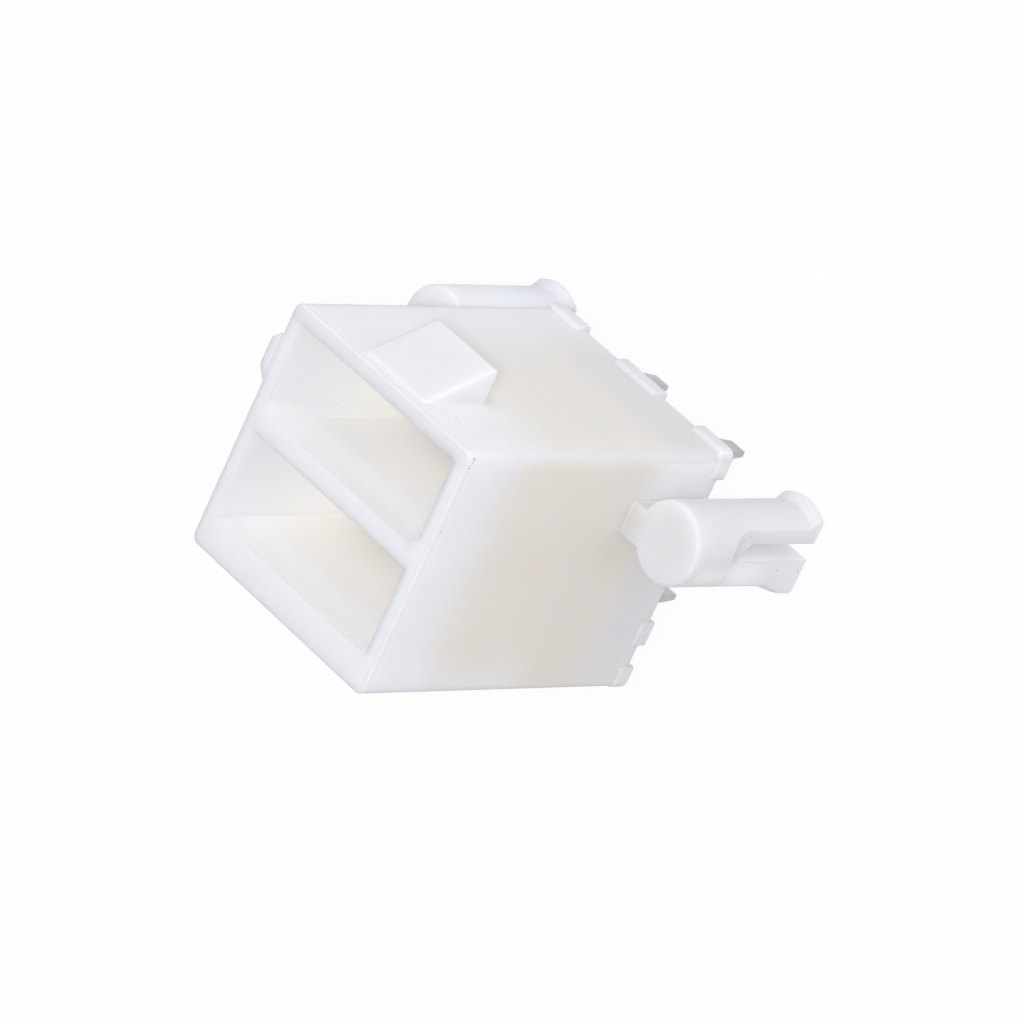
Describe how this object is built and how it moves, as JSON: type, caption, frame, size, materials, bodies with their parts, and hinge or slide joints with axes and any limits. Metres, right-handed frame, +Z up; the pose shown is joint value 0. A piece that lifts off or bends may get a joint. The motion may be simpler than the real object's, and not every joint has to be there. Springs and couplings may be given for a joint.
{
  "type": "wire to board connector housing",
  "caption": "Upright pin header for a circuit board: natural nylon shroud with keyed slots, locking ramp, split board-lock pegs and solder tails.",
  "frame": {"origin": "on the circuit board's upper face, midway between the two board-lock pegs along X and at the middle of the shell along Y; the feet stand on this plane", "axes": "+Z up out of the board, the way a plug leaves; X runs from peg to peg; +Y points to the wall with the locking ramp"},
  "size_m": [0.02, 0.013, 0.0196],
  "materials": {
    "nylon": "natural translucent moulding, satin",
    "contact_metal": "tin plate, satin"
  },
  "bodies": {
    "root": {"housing": "nylon", "contact_a1": "contact_metal", "contact_a2": "contact_metal", "contact_b1": "contact_metal", "contact_b2": "contact_metal"}
  },
  "joints": []
}
